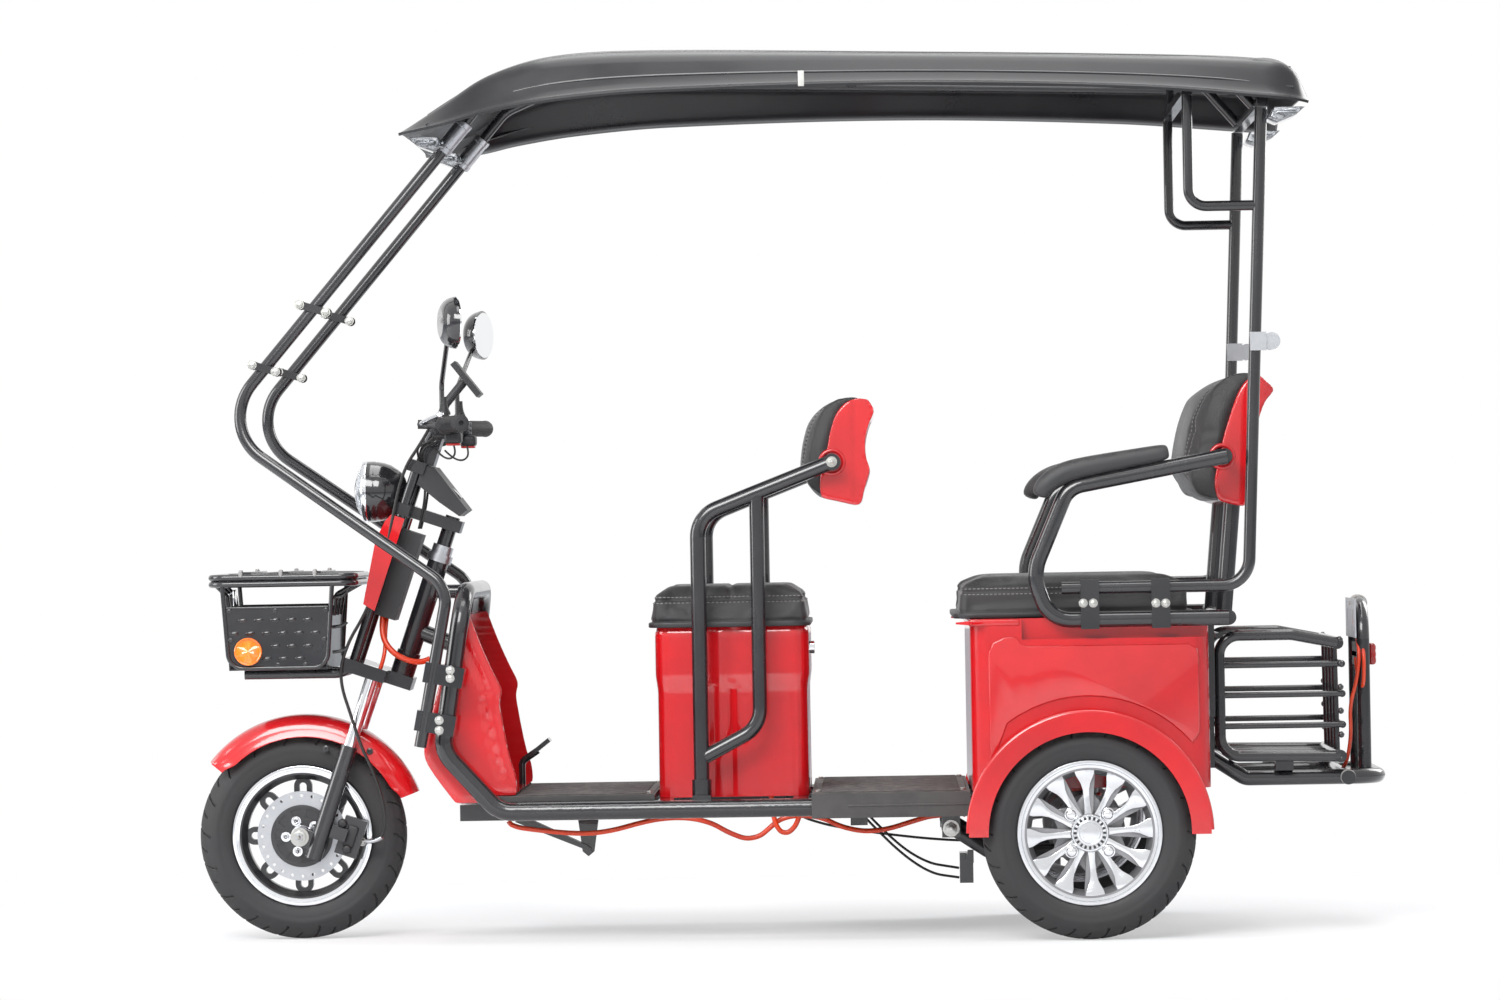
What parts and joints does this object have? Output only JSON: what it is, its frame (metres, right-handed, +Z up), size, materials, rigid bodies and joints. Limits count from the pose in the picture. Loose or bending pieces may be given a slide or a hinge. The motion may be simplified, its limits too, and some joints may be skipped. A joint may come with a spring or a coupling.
{
  "type": "electric passenger tricycle",
  "caption": "Electric passenger tricycle with roof canopy, driver's seat, rear passenger seat, front basket and rear luggage rack.",
  "frame": {"origin": "on the ground, under the middle of the overall length and width", "axes": "+X forward, +Y to the rider's left, +Z up"},
  "size_m": [2.376, 0.95, 1.7629],
  "materials": {
    "tyre_rubber": "matt moulded rubber",
    "black_alloy": "satin black cast alloy",
    "bright_alloy": "machined bright",
    "steel": "brushed",
    "chrome": "polished",
    "black_metal": "gloss black powder coat",
    "red_plastic": "high gloss",
    "black_gloss_plastic": "gloss",
    "black_plastic": "fine grain",
    "clear_lens": "clear",
    "grip_rubber": "soft matt",
    "mirror_glass": "polished",
    "mat_rubber": "ribbed matt",
    "seat_leather": "grained black leatherette",
    "battery_case": "matt",
    "pad_rubber": "soft satin foam skin",
    "roof_plastic": "satin gloss black",
    "signal_lens": "clear with metallised back",
    "red_lens": "red lens",
    "conduit_orange": "corrugated",
    "cable_black": "matt",
    "amber_lens": "amber prismatic"
  },
  "bodies": {
    "chassis": {"armrest_pads": "pad_rubber", "battery_pack": "battery_case", "brake_cables": "cable_black", "brake_pedal": "black_metal", "canopy_brackets": "steel", "canopy_clamps": "black_metal", "canopy_front_tubes": "black_metal", "canopy_rear_posts": "black_metal", "driver_backrest_pad": "seat_leather", "driver_backrest_shell": "red_plastic", "driver_seat_box": "red_plastic", "driver_seat_frame": "black_metal", "footboards": "mat_rubber", "leg_shield": "red_plastic", "main_frame": "black_metal", "plate_bracket": "steel", "rear_axle": "black_metal", "rear_backrest_pad": "seat_leather", "rear_backrest_shell": "red_plastic", "rear_body": "red_plastic", "rear_bumper": "black_metal", "rear_rack": "black_metal", "rear_seat_frame": "black_metal", "rear_suspension": "black_metal", "roof_frame": "black_metal", "roof_panel": "roof_plastic", "tail_lamp": "red_lens", "turn_signals": "signal_lens", "underfloor_linkage": "black_metal", "wiring_conduits": "conduit_orange"},
    "steering": {"front_axle": "steel", "fork_lowers": "black_metal", "fork_stanchions": "chrome", "fork_crown": "black_metal", "headset_nuts": "steel", "front_fender": "red_plastic", "brake_caliper": "black_metal", "basket": "black_metal", "headlight_housing": "black_gloss_plastic", "headlight_lens": "clear_lens", "front_panel": "red_plastic", "controller_box": "black_plastic", "dashboard": "black_plastic", "handlebar": "black_metal", "grips": "grip_rubber", "hand_controls": "black_plastic", "mirror_shells": "black_plastic", "mirror_glass": "mirror_glass", "side_reflectors": "amber_lens"},
    "front_wheel": {"front_tyre": "tyre_rubber", "front_rim": "black_alloy", "brake_disc": "steel"},
    "rear_wheel_left": {"rear_tyre_left": "tyre_rubber", "rear_rim_left": "bright_alloy"},
    "rear_wheel_right": {"rear_tyre_right": "tyre_rubber", "rear_rim_right": "bright_alloy"},
    "basket_lid": {"basket_lid": "black_metal"},
    "driver_seat_lid": {"driver_seat_cushion": "seat_leather"},
    "rear_seat_lid": {"rear_seat_cushion": "seat_leather"}
  },
  "joints": [
    {"name": "steering_axis", "type": "hinge", "parent": "chassis", "child": "steering", "pos_m": [0.89679, 0, 0.17935], "axis": [-0.3256, 0, 0.9455], "range_deg": [-35, 35]},
    {"name": "front_wheel_spin", "type": "hinge", "parent": "steering", "child": "front_wheel", "pos_m": [0.98, 0, 0.208], "axis": [0, 1, 0], "continuous": true},
    {"name": "rear_wheel_left_spin", "type": "hinge", "parent": "chassis", "child": "rear_wheel_left", "pos_m": [-0.59, 0.345, 0.208], "axis": [0, 1, 0], "continuous": true},
    {"name": "rear_wheel_right_spin", "type": "hinge", "parent": "chassis", "child": "rear_wheel_right", "pos_m": [-0.59, -0.345, 0.208], "axis": [0, 1, 0], "continuous": true},
    {"name": "basket_lid_hinge", "type": "hinge", "parent": "steering", "child": "basket_lid", "pos_m": [0.85, 0, 0.715], "axis": [0, -1, 0], "range_deg": [0, 65]},
    {"name": "driver_seat_hinge", "type": "hinge", "parent": "chassis", "child": "driver_seat_lid", "pos_m": [0.272, 0, 0.6163], "axis": [0, 1, 0], "range_deg": [0, 75]},
    {"name": "rear_seat_hinge", "type": "hinge", "parent": "chassis", "child": "rear_seat_lid", "pos_m": [-0.33, 0, 0.6263], "axis": [0, 1, 0], "range_deg": [0, 70]}
  ]
}
